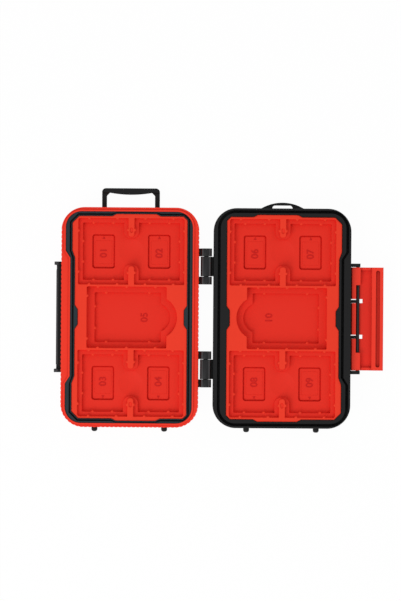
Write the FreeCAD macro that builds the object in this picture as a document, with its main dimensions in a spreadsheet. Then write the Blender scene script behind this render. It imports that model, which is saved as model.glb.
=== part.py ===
import FreeCAD, Part
import math
import os
import Sketcher

# Pocket hard case for memory cards, built like a small suitcase and shown opened flat on its back.
# The base half is centred on the origin with its flat underside on z = 0. The lid half lies on the -X side
# of the hinge, the latch is on the +X side, the handle and the lanyard loop are on the +Y ends.
# In the lengths below "w" runs from the middle of a half towards its latch side and "v" runs along Y.

SIZES = [
    # Cards that the pockets are cut for
    ("large_card_long", 38.5),
    ("large_card_wide", 29.6),
    ("large_card_thick", 3.8),
    ("card_long", 32.0),
    ("card_wide", 24.0),
    ("card_thick", 2.1),
    ("small_card_long", 15.0),
    ("small_card_wide", 11.0),
    ("small_card_thick", 1.0),
    ("card_gap", 0.15),
    ("small_card_gap", 0.05),
    ("card_lift", 0.2),
    # How far a cut runs past the face that it leaves, and a boss into the wall that it stands on
    ("overrun", 1.0),
    ("boss_root", 1.0),
    # Trays
    ("divider", 3.0),
    ("pocket_web", 1.0),
    ("tray_end_wall", 1.1),
    ("tray_hinge_wall", 1.6),
    ("tray_latch_wall", 3.0),
    ("tray_floor", 1.1),
    ("tray_latch_chamfer", 3.4),
    ("tray_hinge_chamfer", 2.0),
    ("tray_mid_step", 1.3),
    ("tray_bulge", 1.1),
    ("bulge_flat", 19.4),
    ("bulge_slope", 2.1),
    ("bulge_shift", 3.2),
    ("notch_mouth", 11.6),
    ("notch_flat", 7.2),
    ("notch_deep", 1.5),
    ("tray_fit", 0.1),
    ("tray_round", 0.3),
    ("ledge", 2.15),
    ("finger_room", 2.6),
    ("pocket_round", 0.6),
    ("bay_round", 1.1),
    ("tab_long", 9.0),
    ("tab_dimple_at", 5.8),
    ("tab_ledge", 2.1),
    ("tab_tip_ledge", 0.7),
    ("tab_dimple_wide", 1.3),
    ("tab_dimple_long", 2.4),
    ("tab_dimple_deep", 0.5),
    ("finger_dip_wide", 11.9),
    ("finger_dip_deep", 0.6),
    ("small_pocket_apart", 27.1),
    ("small_pocket_room", 1.6),
    ("small_pocket_round", 1.4),
    ("small_moat_wide", 0.65),
    ("small_moat_deep", 0.5),
    ("large_pocket_shift", 1.4),
    ("inner_pocket_shift", 0.9),
    ("thumb_notch_at", 12.5),
    ("thumb_notch_outer", 10.6),
    ("thumb_notch_inner", 7.3),
    # Shells
    ("side_margins", 10.8),
    ("base_hinge_margin", 6.4),
    ("lid_hinge_margin", 5.6),
    ("end_margin", 4.15),
    ("shell_floor", 2.0),
    ("underfloor", 2.0),
    ("tray_drop", 0.6),
    ("rim_gap", 0.1),
    ("corner_radius", 11.3),
    ("back_radius", 3.0),
    ("rim_round", 0.3),
    ("rim_latch", 2.1),
    ("rim_latch_middle", 4.4),
    ("rim_hinge", 3.1),
    ("rim_end", 2.0),
    ("jog_outer", 32.3),
    ("jog_inner", 28.7),
    ("seal_corner", 7.8),
    ("lip_wide", 0.8),
    ("lip_tall", 0.6),
    ("lip_inner_gap", 0.35),
    ("lip_outer_gap", 0.2),
    ("rim_groove_deep", 3.0),
    ("cell_rib", 1.6),
    # Seal in the lid
    ("seal_tall", 3.0),
    ("seal_fit", 0.05),
    ("seal_inner_strip", 0.35),
    ("seal_groove_wide", 0.8),
    ("seal_groove_deep", 2.0),
    ("seal_bulge", 0.6),
    # Flutes on the lid's sides and bottom end
    ("flute_pitch", 2.15),
    ("flute_deep", 0.2),
    ("flute_radius", 0.9),
    # Hinges
    ("hinge_reach", 3.5),
    ("hinge_apart", 50.0),
    ("hinge_long", 17.5),
    ("knuckle_long", 3.8),
    ("knuckle_gap", 0.2),
    ("barrel_radius", 2.75),
    ("leaf_thick", 1.5),
    ("leaf_low", 7.5),
    ("leaf_high", 0.8),
    ("web_thick", 2.2),
    ("hinge_pin_radius", 1.2),
    ("hinge_pin_short", 0.1),
    ("pin_press", 0.01),
    ("pin_running", 0.06),
    # Latch, its pin and its keeper
    ("latch_long", 50.2),
    ("latch_reach", 12.4),
    ("latch_under", 2.3),
    ("latch_high", 1.9),
    ("latch_skin", 1.35),
    ("heel_gap", 0.1),
    ("heel_chamfer", 0.55),
    ("heel_upright", 0.3),
    ("latch_end_round", 0.4),
    ("latch_end_wall", 1.4),
    ("latch_end_wall_drop", 1.4),
    ("clip_wall", 0.4),
    ("clip_slit", 1.2),
    ("pin_window", 32.9),
    ("latch_pin_out", 3.5),
    ("latch_pin_deep", 5.1),
    ("latch_pin_radius", 0.85),
    ("arm_apart", 17.4),
    ("arm_thick", 1.5),
    ("arm_drop", 0.17),
    ("arm_slot_gap", 0.22),
    ("arm_slot_past_pin", 2.4),
    ("ear_gap", 0.2),
    ("ear_thick", 1.65),
    ("ear_out", 4.6),
    ("ear_half_tall", 2.5),
    ("hook_at", 9.75),
    ("hook_slot_wide", 1.95),
    ("hook_slot_deep", 1.4),
    ("hook_slot_end", 1.55),
    ("hook_strip", 2.1),
    ("tongue_side_gap", 0.3),
    ("tongue_end_gap", 0.4),
    ("tongue_tip_gap", 0.5),
    ("keeper_plate", 0.9),
    ("keeper_rail_out", 1.2),
    ("keeper_rail_half_tall", 1.3),
    ("keeper_flange_out", 3.4),
    ("keeper_sill_out", 2.5),
    ("keeper_sill_tall", 1.0),
    ("keeper_sill_gap", 0.4),
    # Pull-out handle
    ("handle_wide", 28.2),
    ("handle_out", 9.5),
    ("handle_leg", 2.35),
    ("handle_thick", 1.7),
    ("handle_grip_thick", 3.4),
    ("handle_grip", 2.2),
    ("handle_belly", 0.9),
    ("handle_belly_wide", 20.2),
    ("handle_corner", 1.9),
    ("handle_inner_cut", 1.5),
    ("handle_play", 0.15),
    ("handle_travel", 5.6),
    ("stop_bar_tall", 3.0),
    ("stop_bar_past_leg", 1.0),
    ("tenon_wide", 1.5),
    ("tenon_long", 2.0),
    # Lanyard loop
    ("loop_wide", 21.0),
    ("loop_tall", 2.9),
    ("loop_slot_wide", 9.9),
    ("loop_slot_tall", 1.55),
    ("loop_slot_round", 1.4),
    ("loop_thick", 3.0),
    ("loop_key_wide", 3.2),
    ("loop_key_deep", 1.6),
    ("loop_key_thick", 2.0),
    # Feet
    ("foot_apart", 34.0),
    ("foot_radius", 1.45),
    ("foot_proud", 2.15),
    ("foot_round", 1.1),
    ("foot_stem_radius", 1.0),
    ("foot_stem_long", 2.4),
    # Gap of a peg, key or tenon pushed into its hole
    ("push_fit", 0.02),
]

doc = FreeCAD.newDocument("memory_card_case")
sheet = doc.addObject("Spreadsheet::Sheet", "sizes")
for row, (alias, value) in enumerate(SIZES, start=1):
    sheet.set(f"A{row}", alias)
    sheet.set(f"B{row}", str(value))
    sheet.setAlias(f"B{row}", alias)
doc.recompute()


class Length:
    """A length with its present value and the sheet formula that it follows."""

    def __init__(self, value, formula):
        self.value = value
        self.formula = formula

    def joined(self, sign, other, value):
        return Length(value, f"({self.formula} {sign} {length(other).formula})")

    def __add__(self, other):
        return self.joined("+", other, self.value + length(other).value)

    def __sub__(self, other):
        return self.joined("-", other, self.value - length(other).value)

    def __mul__(self, other):
        return self.joined("*", other, self.value * length(other).value)

    def __truediv__(self, other):
        return self.joined("/", other, self.value / length(other).value)

    def __radd__(self, other):
        return length(other) + self

    def __rsub__(self, other):
        return length(other) - self

    def __rmul__(self, other):
        return length(other) * self

    def __neg__(self):
        return Length(-self.value, f"(-1 * {self.formula})")


def length(number):
    """Take a Length as it is and give a plain number a formula of its own."""
    if isinstance(number, Length):
        return number
    return Length(float(number), f"({float(number)!r})")


def cell(alias):
    """The Length that a cell of the sheet holds."""
    return Length(float(sheet.get(alias)), f"sizes.{alias}")


class Cells:
    """Every cell of the sheet as an attribute."""

    def __getattr__(self, alias):
        return cell(alias)


size = Cells()


def bind(item, name, amount):
    """Tie one property of a document object to a formula on the sheet."""
    item.setExpression(name, length(amount).formula)


# Lengths that several pieces share

bay_wide = (size.card_wide + size.card_gap * 2) * 2 + size.divider
bay_tall = size.card_long + size.card_gap * 2
bay_start = size.large_card_wide / 2 + size.card_gap + size.pocket_web
bay_end = bay_start + bay_tall
bay_mid = bay_start + bay_tall / 2
bay_shift = (size.tray_hinge_wall - size.tray_latch_wall) / 2
tray_wide = bay_wide + size.tray_hinge_wall + size.tray_latch_wall
tray_tall = (bay_end + size.tray_end_wall) * 2

ledge_deep = size.card_thick + size.card_lift
bay_deep = ledge_deep + size.finger_room
small_deep = bay_deep + size.small_card_thick + size.card_lift / 2
large_deep = size.large_card_thick + size.card_lift
inner_deep = large_deep + size.card_thick + size.card_lift
tray_deep = inner_deep + size.tray_floor

shell_wide = tray_wide + size.side_margins
shell_tall = tray_tall + size.end_margin * 2
seat = size.shell_floor + size.underfloor
parting = seat + tray_deep + size.tray_drop
rim = parting - size.rim_gap
base_shift = (size.base_hinge_margin * 2 - size.side_margins) / 2
lid_shift = (size.lid_hinge_margin * 2 - size.side_margins) / 2
hinge_x = -(shell_wide / 2 + size.hinge_reach)
lid_x = hinge_x * 2
mid_high = parting / 2

BASE = 1
LID = -1
NEAR = 1e-4
END_ROUND = 0.9
CELL_COLUMNS = 3
BASE_CELL_ROWS = 5
LID_CELL_ROWS = 4


# Sketches and features

def new_body(label, x=0, y=0, z=0, turn=0):
    """An empty body at its own place, turned about Z in degrees."""
    body = doc.addObject("PartDesign::Body", label)
    body.Label = label
    body.Placement = FreeCAD.Placement(FreeCAD.Vector(), FreeCAD.Rotation(FreeCAD.Vector(0, 0, 1), turn))
    for axis, amount in zip("xyz", (x, y, z)):
        bind(body, f"Placement.Base.{axis}", amount)
    return body


def new_sketch(body, name, lift=0, role="XY_Plane", across=0, along=0):
    """A sketch on one origin plane of the body, lifted along the plane's normal."""
    sketch = body.newObject("Sketcher::SketchObject", f"{body.Label}_{name}")
    plane = next(item for item in body.Origin.OriginFeatures if item.Role == role)
    sketch.AttachmentSupport = [(plane, "")]
    sketch.MapMode = "FlatFace"
    for axis, amount in zip("xyz", (across, along, lift)):
        bind(sketch, f"AttachmentOffset.Base.{axis}", amount)
    return sketch


def rule(kind, *where, amount=None):
    """One constraint of a sketch, with the length that it measures if it has one."""
    if amount is None:
        return Sketcher.Constraint(kind, *where), None
    return Sketcher.Constraint(kind, *where, length(amount).value), amount


def point_rules(shape, end, x, y):
    """The constraints that fix a point by its distances from the sketch's origin."""
    rules = []
    for kind, amount, axis in (("DistanceX", x, -2), ("DistanceY", y, -1)):
        if abs(length(amount).value) < NEAR:
            rules.append(rule("PointOnObject", shape, end, axis))
        else:
            rules.append(rule(kind, -1, 1, shape, end, amount=amount))
    return rules


def settle(sketch, rules):
    """Add constraints to a sketch together and tie the measured ones to the sheet."""
    numbers = sketch.addConstraint([constraint for constraint, amount in rules])
    for number, (constraint, amount) in zip(numbers, rules):
        if amount is not None:
            bind(sketch, f"Constraints[{number}]", amount)


def outline(sketch, corners):
    """A closed loop of straight edges through corners (x, y), with (x, y, radius) for a rounded one."""
    count = len(corners)
    places = [FreeCAD.Vector(length(c[0]).value, length(c[1]).value, 0) for c in corners]
    starts = []
    ends = []
    arcs = {}
    for index, corner in enumerate(corners):
        if len(corner) == 2:
            starts.append(places[index])
            ends.append(places[index])
            continue
        before = (places[index - 1] - places[index]).normalize()
        after = (places[(index + 1) % count] - places[index]).normalize()
        radius = length(corner[2]).value
        half = before.getAngle(after) / 2
        run = radius / math.tan(half)
        centre = places[index] + (before + after).normalize() * (radius / math.sin(half))
        ends.append(places[index] + before * run)
        starts.append(places[index] + after * run)
        middle = centre + (places[index] - centre).normalize() * radius
        arcs[index] = Part.Arc(ends[index], middle, starts[index])
    lines = []
    for index in range(count):
        line = Part.LineSegment(starts[index], ends[(index + 1) % count])
        lines.append(sketch.addGeometry(line, False))
    rules = []
    for index, corner in enumerate(corners):
        line_in, line_out = lines[index - 1], lines[index]
        if index not in arcs:
            rules.append(rule("Coincident", line_in, 2, line_out, 1))
            rules += point_rules(line_out, 1, corner[0], corner[1])
            continue
        arc = sketch.addGeometry(arcs[index], False)
        first, last = arc_ends(sketch, arc, ends[index])
        point = sketch.addGeometry(Part.Point(places[index]), True)
        rules += point_rules(point, 1, corner[0], corner[1])
        rules.append(rule("PointOnObject", point, 1, line_in))
        rules.append(rule("PointOnObject", point, 1, line_out))
        rules.append(rule("Tangent", line_in, 2, arc, first))
        rules.append(rule("Tangent", line_out, 1, arc, last))
        rules.append(rule("Radius", arc, amount=corner[2]))
    settle(sketch, rules)


def arc_ends(sketch, arc, near):
    """The numbers of an arc's two ends, the one at the given point first."""
    if (sketch.getPoint(arc, 1) - near).Length < (sketch.getPoint(arc, 2) - near).Length:
        return 1, 2
    return 2, 1


def box_corners(x0, x1, y0, y1, *radius):
    """The four corners of a rectangle, all with one radius if it is given."""
    return [(x0, y0, *radius), (x1, y0, *radius), (x1, y1, *radius), (x0, y1, *radius)]


def circle(sketch, x, y, radius):
    """A circle held by its centre and its radius."""
    middle = FreeCAD.Vector(length(x).value, length(y).value, 0)
    ring = sketch.addGeometry(Part.Circle(middle, FreeCAD.Vector(0, 0, 1), length(radius).value), False)
    settle(sketch, point_rules(ring, 3, x, y) + [rule("Radius", ring, amount=radius)])


def bow(sketch, half_chord, y, rise):
    """A circle segment on a chord that is centred on x = 0. A negative rise bows it downwards."""
    left = FreeCAD.Vector(-half_chord.value, length(y).value, 0)
    right = FreeCAD.Vector(half_chord.value, length(y).value, 0)
    top = FreeCAD.Vector(0, length(y).value + rise.value, 0)
    chord = sketch.addGeometry(Part.LineSegment(left, right), False)
    arc = sketch.addGeometry(Part.Arc(right, top, left), False)
    first, last = arc_ends(sketch, arc, right)
    tall = rise if rise.value > 0 else -rise
    settle(sketch, [
        *point_rules(chord, 1, -half_chord, y),
        *point_rules(chord, 2, half_chord, y),
        rule("Coincident", chord, 2, arc, first),
        rule("Coincident", chord, 1, arc, last),
        rule("Radius", arc, amount=(half_chord * half_chord + tall * tall) / (tall * 2)),
    ])


def dish(sketch, radius, y, deep):
    """Half of a shallow dish beside the sketch's vertical axis, hung from its brim at y."""
    brim = FreeCAD.Vector(radius.value, y.value, 0)
    centre = FreeCAD.Vector(0, y.value, 0)
    bottom = FreeCAD.Vector(0, y.value - deep.value, 0)
    ball = (radius * radius + deep * deep) / (deep * 2)
    lean = math.asin(radius.value / ball.value) / 2
    between = FreeCAD.Vector(math.sin(lean), -math.cos(lean), 0) * ball.value
    middle = between + FreeCAD.Vector(0, bottom.y + ball.value, 0)
    axis = sketch.addGeometry(Part.LineSegment(bottom, centre), False)
    top = sketch.addGeometry(Part.LineSegment(centre, brim), False)
    arc = sketch.addGeometry(Part.Arc(brim, middle, bottom), False)
    first, last = arc_ends(sketch, arc, brim)
    settle(sketch, [
        *point_rules(axis, 1, 0, y - deep),
        *point_rules(axis, 2, 0, y),
        *point_rules(top, 2, radius, y),
        rule("Coincident", axis, 2, top, 1),
        rule("Coincident", top, 2, arc, first),
        rule("Coincident", axis, 1, arc, last),
        rule("Radius", arc, amount=ball),
    ])


def spin(body, sketch, kind):
    """Turn a sketch right round its vertical axis, as a Revolution or as a Groove."""
    feature = body.newObject(f"PartDesign::{kind}", f"{sketch.Name}_turned")
    feature.Profile = sketch
    feature.ReferenceAxis = (sketch, ["V_Axis"])
    feature.Angle = 360
    return feature


def pad(body, sketch, amount, symmetric=False):
    """Raise a sketch along its normal, or by half the amount to each side."""
    feature = body.newObject("PartDesign::Pad", f"{sketch.Name}_pad")
    feature.Profile = sketch
    if symmetric:
        feature.SideType = "Symmetric"
    bind(feature, "Length", amount)
    return feature


def pocket(body, sketch, amount, symmetric=False, along_normal=False):
    """Cut a sketch against its normal, along it, or by half the amount to each side."""
    feature = body.newObject("PartDesign::Pocket", f"{sketch.Name}_pocket")
    feature.Profile = sketch
    if symmetric:
        feature.SideType = "Symmetric"
    feature.Reversed = along_normal
    bind(feature, "Length", amount)
    return feature


def mirror(body, features, role):
    """Repeat features on the other side of one origin plane of the body."""
    feature = body.newObject("PartDesign::Mirrored", f"{body.Label}_mirror_{role[:2]}")
    feature.Originals = features
    plane = next(item for item in body.Origin.OriginFeatures if item.Role == role)
    feature.MirrorPlane = (plane, [""])
    body.Tip = feature
    return feature


def round_edges(body, name, radius, wanted):
    """Round every edge of the body so far that the test picks."""
    doc.recompute()
    base = body.Tip
    edges = [f"Edge{number}" for number, edge in enumerate(base.Shape.Edges, start=1) if wanted(edge)]
    feature = body.newObject("PartDesign::Fillet", f"{body.Label}_{name}")
    feature.Base = (base, edges)
    bind(feature, "Radius", radius)
    body.Tip = feature
    return feature


def lies_at(height):
    """A test for edges that lie wholly at one height of the body."""
    def wanted(edge):
        box = edge.BoundBox
        return abs(box.ZMin - height.value) < NEAR and abs(box.ZMax - height.value) < NEAR
    return wanted


def end_round(wide):
    """The corner radius that rounds nearly all of a strip's end."""
    return wide / 2 * END_ROUND


# Outlines that the shells, the seal and the trays share

def turned(side, corners):
    """Corners given as (w, v) in the X and Y of one half."""
    return [(corner[0] * side, *corner[1:]) for corner in corners]


def seal_line(side, grow):
    """The line where the rim meets the seal, grown outwards by a length."""
    latch = shell_wide / 2 - size.rim_latch + grow
    middle = shell_wide / 2 - size.rim_latch_middle + grow
    hinge = -(shell_wide / 2 - size.rim_hinge + grow)
    end = shell_tall / 2 - size.rim_end + grow
    radius = size.seal_corner + grow
    return turned(side, [
        (hinge, -end, radius),
        (latch, -end, radius),
        (latch, -size.jog_outer),
        (middle, -size.jog_inner),
        (middle, size.jog_inner),
        (latch, size.jog_outer),
        (latch, end, radius),
        (hinge, end, radius),
    ])


def tray_line(side, shift, grow, bulge, notched=True):
    """The outline of a tray, grown outwards by a length, with or without its side notches."""
    widen = grow * (2 - math.sqrt(2))
    latch = tray_wide / 2 + shift + grow
    middle = latch - size.tray_mid_step
    hinge = shift - tray_wide / 2 - grow
    end = tray_tall / 2 + grow
    latch_cut = size.tray_latch_chamfer + widen
    hinge_cut = size.tray_hinge_chamfer + widen
    bulge_mid = shift - size.bulge_shift
    flat = size.bulge_flat / 2
    foot = flat + size.bulge_slope
    mouth = size.notch_mouth / 2
    floor = size.notch_flat / 2

    def end_edge(sign):
        return [
            (bulge_mid - foot, end * sign),
            (bulge_mid - flat, (end + bulge) * sign),
            (bulge_mid + flat, (end + bulge) * sign),
            (bulge_mid + foot, end * sign),
        ]

    def notch(w, inwards):
        return [
            (w, -mouth),
            (w + size.notch_deep * inwards, -floor),
            (w + size.notch_deep * inwards, floor),
            (w, mouth),
        ]

    latch_notch = notch(middle, -1) if notched else []
    hinge_notch = notch(hinge, 1) if notched else []
    return turned(side, [
        (hinge, -(end - hinge_cut)),
        (hinge + hinge_cut, -end),
        *end_edge(-1),
        (latch - latch_cut, -end),
        (latch, -(end - latch_cut)),
        (latch, -size.jog_outer),
        (middle, -size.jog_inner),
        *latch_notch,
        (middle, size.jog_inner),
        (latch, size.jog_outer),
        (latch, end - latch_cut),
        (latch - latch_cut, end),
        *reversed(end_edge(1)),
        (hinge + hinge_cut, end),
        (hinge, end - hinge_cut),
        *reversed(hinge_notch),
    ])


# Trays

def tab(v, inwards, inset, wide, long):
    """The corners of a divider tab that stands in from an edge of a bay, from -w to +w."""
    half_wide = wide / 2
    root = v + inset * inwards
    tip = v + long * inwards
    radius = end_round(wide)
    return [
        (bay_shift - half_wide, root),
        (bay_shift - half_wide, tip, radius),
        (bay_shift + half_wide, tip, radius),
        (bay_shift + half_wide, root),
    ]


def bay_line(inset, tab_wide, tab_long, outer_round):
    """The outline of the upper bay, inset by a length, round its two divider tabs."""
    half = bay_wide / 2 - inset
    low = bay_start + inset
    high = bay_end - inset
    return [
        (bay_shift - half, low, size.pocket_round),
        *tab(bay_start, 1, inset, tab_wide, tab_long),
        (bay_shift + half, low, size.pocket_round),
        (bay_shift + half, high, outer_round),
        *tab(bay_end, -1, inset, tab_wide, tab_long)[::-1],
        (bay_shift - half, high, outer_round),
    ]


def small_pockets(sketch, inset):
    """The outlines of the two small-card recesses of the upper bay, inset by a length."""
    half_wide = size.small_card_wide / 2 + size.small_card_gap - inset
    half_long = size.small_card_long / 2 + size.small_card_gap + size.small_pocket_room / 2 - inset
    for side in (-1, 1):
        middle = bay_shift + size.small_pocket_apart / 2 * side
        outline(sketch, box_corners(
            middle - half_wide, middle + half_wide, bay_mid - half_long, bay_mid + half_long,
            size.small_pocket_round - inset))


def make_tray(label, x, turn):
    """A moulded tray: two stepped bays for four cards and one stepped pocket in the middle."""
    body = new_body(label, x, 0, seat, turn)
    blank = new_sketch(body, "blank")
    outline(blank, tray_line(BASE, length(0), -size.tray_fit, size.tray_bulge))
    pad(body, blank, tray_deep)
    round_edges(body, "soft_brim", size.tray_round, lies_at(tray_deep))

    ledge_sketch = new_sketch(body, "bay_ledge", tray_deep)
    outline(ledge_sketch, bay_line(length(0), size.divider, size.tab_long, size.bay_round))
    floor_sketch = new_sketch(body, "bay_floor", tray_deep)
    foot_wide = size.divider + size.tab_ledge * 2
    outline(floor_sketch, bay_line(
        size.ledge, foot_wide, size.tab_long + size.tab_tip_ledge, size.pocket_round))

    small_sketch = new_sketch(body, "small_pockets", tray_deep)
    small_pockets(small_sketch, length(0))
    moat_sketch = new_sketch(body, "small_moats", tray_deep)
    small_pockets(moat_sketch, length(0))
    small_pockets(moat_sketch, size.small_moat_wide)
    dip_sketch = new_sketch(body, "finger_dip", -bay_mid, "XZ_Plane", across=bay_shift)
    dish(dip_sketch, size.finger_dip_wide / 2, tray_deep - bay_deep, size.finger_dip_deep)
    dimple_sketch = new_sketch(body, "tab_dimple", tray_deep)
    half_dimple = size.tab_dimple_wide / 2
    dimple_v = bay_end - size.tab_dimple_at
    outline(dimple_sketch, box_corners(
        bay_shift - half_dimple, bay_shift + half_dimple,
        dimple_v - size.tab_dimple_long / 2, dimple_v + size.tab_dimple_long / 2,
        end_round(size.tab_dimple_wide)))
    bay = [
        pocket(body, ledge_sketch, ledge_deep),
        pocket(body, floor_sketch, bay_deep),
        pocket(body, small_sketch, small_deep),
        pocket(body, moat_sketch, small_deep + size.small_moat_deep),
        spin(body, dip_sketch, "Groove"),
        pocket(body, dimple_sketch, size.tab_dimple_deep),
    ]
    mirror(body, bay, "XZ_Plane")

    half_long = size.large_card_long / 2 + size.card_gap
    half_wide = size.large_card_wide / 2 + size.card_gap
    large_sketch = new_sketch(body, "large_pocket", tray_deep)
    outline(large_sketch, box_corners(
        size.large_pocket_shift - half_long, size.large_pocket_shift + half_long,
        -half_wide, half_wide, size.pocket_round))
    pocket(body, large_sketch, large_deep)
    half_long = size.card_long / 2 + size.card_gap
    half_wide = size.card_wide / 2 + size.card_gap
    inner_sketch = new_sketch(body, "inner_pocket", tray_deep)
    outline(inner_sketch, box_corners(
        size.inner_pocket_shift - half_long, size.inner_pocket_shift + half_long,
        -half_wide, half_wide, size.pocket_round))
    pocket(body, inner_sketch, inner_deep)
    for name, radius, deep in (
        ("thumb_notch", size.thumb_notch_outer, large_deep),
        ("inner_thumb_notch", size.thumb_notch_inner, inner_deep),
    ):
        notch_sketch = new_sketch(body, name, tray_deep)
        circle(notch_sketch, -size.thumb_notch_at, 0, radius)
        pocket(body, notch_sketch, deep)
    web = (bay_start - size.pocket_web / 2).value

    def pocket_mouth(edge):
        across = abs(edge.CenterOfMass.x - bay_shift.value)
        beside = across < bay_wide.value / 2 + NEAR
        return beside and abs(edge.CenterOfMass.y) < bay_end.value + NEAR and lies_at(tray_deep)(edge)

    round_edges(body, "soft_bays", size.tray_round,
                lambda edge: pocket_mouth(edge) and abs(edge.CenterOfMass.y) > web)
    round_edges(body, "soft_middle", size.tray_round,
                lambda edge: pocket_mouth(edge) and abs(edge.CenterOfMass.y) < web)
    return body


# Shells

def shell_block(label, x):
    """A tub blank with rounded corners and a rounded back edge."""
    body = new_body(label, x)
    blank = new_sketch(body, "blank")
    outline(blank, box_corners(
        -shell_wide / 2, shell_wide / 2, -shell_tall / 2, shell_tall / 2, size.corner_radius))
    pad(body, blank, rim)
    round_edges(body, "back_edge", size.back_radius, lies_at(length(0)))
    round_edges(body, "rim_edge", size.rim_round, lies_at(rim))
    return body


def tray_well(body, side, shift):
    """The well that the tray drops into, down to the ribs that carry it."""
    well = new_sketch(body, "well", rim)
    outline(well, tray_line(side, shift, length(0), size.tray_bulge))
    pocket(body, well, rim - seat)


def floor_cells(body, side, shift, rows, low, high):
    """Shallow cells under the tray, which leave a grid of ribs standing on the shell's floor."""
    half = tray_wide / 2 - size.tray_latch_wall
    wide = (half * 2 - size.cell_rib * (CELL_COLUMNS - 1)) / CELL_COLUMNS
    tall = (high - low - size.cell_rib * (rows - 1)) / rows
    left = shift * side - half
    cell_sketch = new_sketch(body, "cell", seat)
    outline(cell_sketch, box_corners(left, left + wide, low, low + tall))
    first = pocket(body, cell_sketch, size.underfloor)
    grid = body.newObject("PartDesign::LinearPattern", f"{body.Label}_cells")
    grid.Originals = [first]
    grid.Direction = (cell_sketch, ["H_Axis"])
    grid.Direction2 = (cell_sketch, ["V_Axis"])
    bind(grid, "Length", (wide + size.cell_rib) * (CELL_COLUMNS - 1))
    bind(grid, "Length2", (tall + size.cell_rib) * (rows - 1))
    grid.Occurrences = CELL_COLUMNS
    grid.Occurrences2 = rows
    body.Tip = grid


def hinge_seats(body, side):
    """Recesses in the hinge-side wall for the plates of the two hinge leaves."""
    seats = new_sketch(body, "hinge_seats", parting - size.leaf_high)
    wall = -shell_wide / 2 * side
    for end in (-1, 1):
        middle = size.hinge_apart / 2 * end
        outline(seats, box_corners(
            wall, wall + size.leaf_thick * side, middle - size.hinge_long / 2, middle + size.hinge_long / 2))
    pocket(body, seats, size.leaf_low - size.leaf_high)


def foot_sockets(body):
    """Two blind holes in the bottom wall for the stems of the feet."""
    sockets = new_sketch(body, "foot_sockets", shell_tall / 2, "XZ_Plane")
    for side in (-1, 1):
        circle(sockets, size.foot_apart / 2 * side, mid_high, size.foot_stem_radius + size.push_fit)
    pocket(body, sockets, size.foot_stem_long + size.push_fit)


latch_pin_x = shell_wide / 2 + size.latch_pin_out
latch_pin_z = parting - size.latch_pin_deep
ear_start = size.latch_long / 2 + size.ear_gap
ear_end = ear_start + size.ear_thick


def make_base_shell():
    """The black half: tray well, rim groove, and the ears and arms that carry the latch pin."""
    body = shell_block("base_shell", 0)
    wall = shell_wide / 2
    ears = new_sketch(body, "ears", latch_pin_z - size.ear_half_tall)
    for end in (-1, 1):
        outline(ears, box_corners(
            wall - size.boss_root, wall + size.ear_out, ear_start * end, ear_end * end))
    pad(body, ears, size.ear_half_tall * 2)
    arms = new_sketch(body, "arms", latch_pin_z - size.latch_pin_radius)
    for end in (-1, 1):
        middle = size.arm_apart / 2 * end - size.arm_drop
        outline(arms, box_corners(
            wall - size.boss_root, latch_pin_x, middle - size.arm_thick / 2, middle + size.arm_thick / 2))
    pad(body, arms, size.latch_pin_radius * 2)
    bore = new_sketch(body, "latch_pin_bore", 0, "XZ_Plane")
    circle(bore, latch_pin_x, latch_pin_z, size.latch_pin_radius + size.pin_press)
    pocket(body, bore, ear_end * 2 + size.overrun, symmetric=True)

    tray_well(body, BASE, base_shift)
    floor_cells(body, BASE, base_shift, BASE_CELL_ROWS, -bay_end, bay_end)
    groove = new_sketch(body, "rim_groove", rim)
    outline(groove, seal_line(BASE, size.lip_wide + size.lip_outer_gap))
    outline(groove, seal_line(BASE, -size.lip_inner_gap))
    pocket(body, groove, size.rim_groove_deep)
    hinge_seats(body, BASE)
    foot_sockets(body)
    keys = new_sketch(body, "loop_keyways", -shell_tall / 2, "XZ_Plane")
    half_key = size.loop_key_thick / 2 + size.push_fit
    for side in (-1, 1):
        near = size.loop_slot_wide / 2 + size.push_fit
        outline(keys, box_corners(
            near * side, (near + size.loop_key_wide) * side, mid_high - half_key, mid_high + half_key))
    pocket(body, keys, size.loop_key_deep + size.push_fit, along_normal=True)
    return body


def flutes(body):
    """Upright flutes cut along the lid's sides and bottom end and fanned round its bottom corners."""
    out = size.flute_radius - size.flute_deep
    half_wide = shell_wide / 2
    half_tall = shell_tall / 2
    long_run = half_tall - size.corner_radius
    short_run = half_wide - size.corner_radius
    for name, axis, half_run, starts in (
        ("long_flutes", "V_Axis", long_run, [(-half_wide - out, -long_run), (half_wide + out, -long_run)]),
        ("short_flutes", "H_Axis", short_run, [(-short_run, -half_tall - out)]),
    ):
        first = new_sketch(body, name, rim)
        for place in starts:
            circle(first, *place, size.flute_radius)
        cut = pocket(body, first, rim)
        row = body.newObject("PartDesign::LinearPattern", f"{body.Label}_{name}_row")
        row.Originals = [cut]
        row.Direction = (first, [axis])
        bind(row, "Length", half_run * 2)
        row.setExpression("Occurrences", f"round({(half_run * 2 / size.flute_pitch).formula}) + 1")
        body.Tip = row
    steps = round(math.pi / 2 * size.corner_radius.value / size.flute_pitch.value)
    ring = size.corner_radius + out
    fan = new_sketch(body, "corner_flutes", rim)
    for across in (-1, 1):
        for step in range(1, steps):
            angle = math.radians(90 / steps * step)
            x = short_run + ring * math.cos(angle)
            y = long_run + ring * math.sin(angle)
            circle(fan, x * across, -y, size.flute_radius)
    pocket(body, fan, rim)


stop_bar_high = tray_tall / 2 - size.handle_play
stop_bar_low = stop_bar_high - size.stop_bar_tall
stop_bar_half = size.handle_wide / 2 + size.stop_bar_past_leg
handle_low = size.shell_floor + size.handle_play
sill_high = parting - (size.latch_reach - size.latch_pin_deep) - size.keeper_sill_gap
keeper_low = sill_high - size.keeper_sill_tall
keeper_high = latch_pin_z + size.ear_half_tall


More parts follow.
